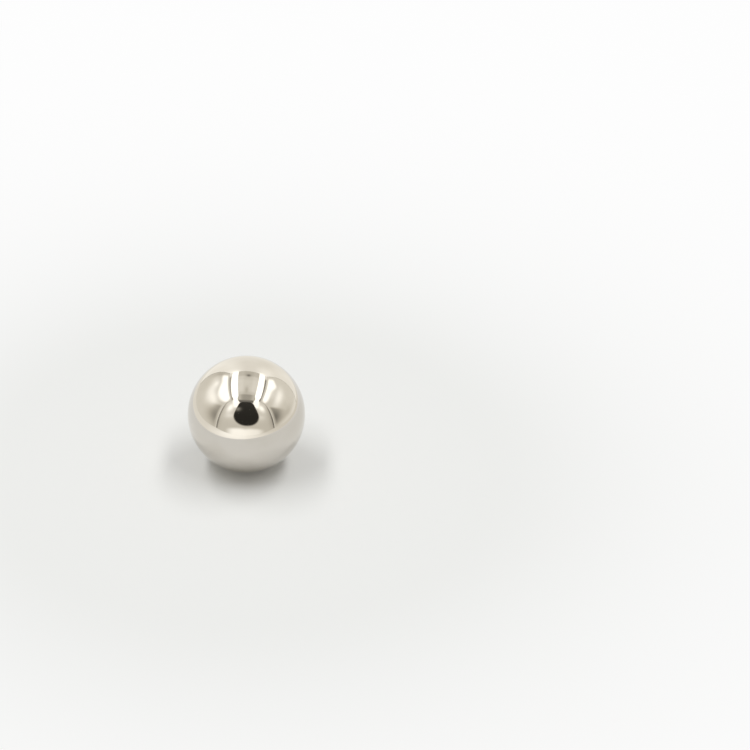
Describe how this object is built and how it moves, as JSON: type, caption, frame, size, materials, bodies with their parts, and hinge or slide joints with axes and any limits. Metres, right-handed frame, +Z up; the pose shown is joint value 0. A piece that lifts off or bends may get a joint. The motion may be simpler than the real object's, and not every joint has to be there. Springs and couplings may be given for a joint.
{
  "type": "steel ball",
  "caption": "Solid mirror-polished steel ball, a true sphere with no flat or bore, that rolls on a surface or sits in a seat, cup or dish.",
  "frame": {"origin": "centre of the ball", "axes": "+Z up; the ball is the same about every axis, and its lowest point at -Z is where it meets its seat"},
  "size_m": [0.0254, 0.0254, 0.0254],
  "materials": {
    "polished_steel": "mirror polished"
  },
  "bodies": {
    "root": {"ball": "polished_steel"}
  },
  "joints": []
}
